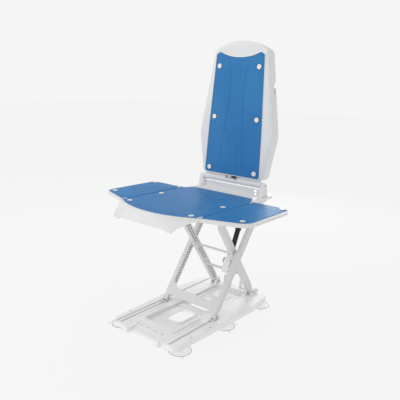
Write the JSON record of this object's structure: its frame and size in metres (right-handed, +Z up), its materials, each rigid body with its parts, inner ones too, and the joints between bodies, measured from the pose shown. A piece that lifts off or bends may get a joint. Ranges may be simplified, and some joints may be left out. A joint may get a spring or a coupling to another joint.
{
  "type": "bath lift",
  "caption": "Reclining scissor bath seat lift: floor plate on suction cups, crossed arms, electric push rod, seat with folding side flaps and a high hinged backrest with blue covers.",
  "frame": {"origin": "on the floor under the middle of the outline", "axes": "+Z up, -Y towards the user's legs, +X to the user's left as seen from the front (the right-hand side of the front view)"},
  "size_m": [0.715, 0.6424, 1.1217],
  "materials": {
    "shell_white": "satin moulded plastic",
    "base_white": "satin moulded plastic",
    "arm_white": "white powder coat",
    "cover_blue": "washable cover, soft sheen",
    "stud_white": "satin",
    "steel": "brushed",
    "black_tube": "semi-matt black",
    "rod_black": "dark anodised",
    "black_plastic": "matt",
    "cup_clear": "clear soft rubber",
    "stem_dark": "matt",
    "glide_grey": "matt"
  },
  "bodies": {
    "base": {"base_plate": "base_white", "base_screws": "steel", "track_liners": "glide_grey", "front_bumpers": "base_white", "suction_cups": "cup_clear", "cup_stems": "stem_dark", "rear_pivot_blocks": "base_white", "foot_pivot_pins": "steel", "rear_uprights": "base_white"},
    "inner_frame": {"inner_arm_right": "arm_white", "inner_arm_left": "arm_white", "inner_crossbar": "arm_white", "drive_bracket": "arm_white", "drive_pin": "steel", "inner_top_bar": "arm_white", "scissor_axle": "steel", "slider_pins": "steel"},
    "outer_frame": {"outer_arm_right": "arm_white", "outer_arm_left": "arm_white", "outer_cross_plate": "arm_white", "outer_top_bar": "arm_white", "crossing_bushes": "glide_grey", "shoe_pins": "steel"},
    "glide_shoes": {"glide_shoes": "glide_grey"},
    "seat_sliders": {"seat_sliders": "glide_grey"},
    "drive": {"motor_housing": "base_white", "drive_motor": "steel", "housing_screws": "steel", "actuator_tube": "black_tube", "drive_spindle": "steel"},
    "rod": {"lift_rod": "rod_black", "push_head": "black_plastic"},
    "seat": {"seat_shell": "shell_white", "front_apron": "shell_white", "seat_rails": "glide_grey", "rear_brackets": "base_white", "seat_pivot_pins": "steel", "seat_pad": "cover_blue", "seat_studs": "stud_white", "hinge_posts": "shell_white", "lower_back_panel": "shell_white", "back_hinge_pins": "steel", "flap_hinge_pins": "steel"},
    "left_flap": {"left_flap": "shell_white", "left_flap_pad": "cover_blue", "left_flap_studs": "stud_white"},
    "right_flap": {"right_flap": "shell_white", "right_flap_pad": "cover_blue", "right_flap_studs": "stud_white"},
    "backrest": {"backrest_shell": "shell_white", "back_rear_cover": "shell_white", "back_pad": "cover_blue", "back_studs": "stud_white", "back_hinge_barrel": "shell_white", "lever_pin": "steel", "lever_guide": "shell_white"},
    "lever": {"release_lever": "black_plastic"}
  },
  "joints": [
    {"name": "lift", "type": "hinge", "parent": "base", "child": "inner_frame", "pos_m": [0, 0.27625, 0.042], "axis": [1, 0, 0], "range_deg": [0, 51.88]},
    {"name": "outer_fold", "type": "hinge", "parent": "inner_frame", "child": "outer_frame", "pos_m": [0, 0.12171, 0.2585], "axis": [1, 0, 0], "range_deg": [-103.78, 0.01]},
    {"name": "seat_level", "type": "hinge", "parent": "outer_frame", "child": "seat", "pos_m": [0, 0.27625, 0.475], "axis": [1, 0, 0], "range_deg": [-0.01, 51.89]},
    {"name": "slider_level", "type": "hinge", "parent": "inner_frame", "child": "seat_sliders", "pos_m": [0, -0.03284, 0.475], "axis": [1, 0, 0], "range_deg": [-51.89, 0.01]},
    {"name": "shoe_level", "type": "hinge", "parent": "outer_frame", "child": "glide_shoes", "pos_m": [0, -0.03284, 0.042], "axis": [1, 0, 0], "range_deg": [-0.01, 51.89]},
    {"name": "drive_tilt", "type": "hinge", "parent": "inner_frame", "child": "drive", "pos_m": [0.053, 0.16005, 0.20478], "axis": [1, 0, 0], "range_deg": [-118.63, 0.01]},
    {"name": "rod_slide", "type": "slide", "parent": "drive", "child": "rod", "axis": [0, 0.395, 0.9187], "range_m": [-0.109, 0.0001]},
    {"name": "right_flap_fold", "type": "hinge", "parent": "seat", "child": "right_flap", "pos_m": [-0.188, -0.066, 0.4996], "axis": [0, 1, 0], "range_deg": [0, 90]},
    {"name": "left_flap_fold", "type": "hinge", "parent": "seat", "child": "left_flap", "pos_m": [0.188, -0.066, 0.4996], "axis": [0, -1, 0], "range_deg": [0, 90]},
    {"name": "back_recline", "type": "hinge", "parent": "seat", "child": "backrest", "pos_m": [0, 0.22625, 0.545], "axis": [-1, 0, 0], "range_deg": [-88, 40]},
    {"name": "release_lever_pull", "type": "hinge", "parent": "backrest", "child": "lever", "pos_m": [0.015, 0.22043, 0.56205], "axis": [1, 0, 0], "range_deg": [0, 12], "stiffness_Nm_per_rad": 0.2, "springref_deg": -5.73}
  ],
  "couplings": [
    {"joint": "outer_fold", "follows": "lift", "ratio": -2},
    {"joint": "seat_level", "follows": "lift", "ratio": 1},
    {"joint": "slider_level", "follows": "lift", "ratio": -1},
    {"joint": "shoe_level", "follows": "lift", "ratio": 1},
    {"joint": "drive_tilt", "follows": "lift", "ratio": -2.2863},
    {"joint": "rod_slide", "follows": "lift", "m_per_rad": -0.12016}
  ]
}
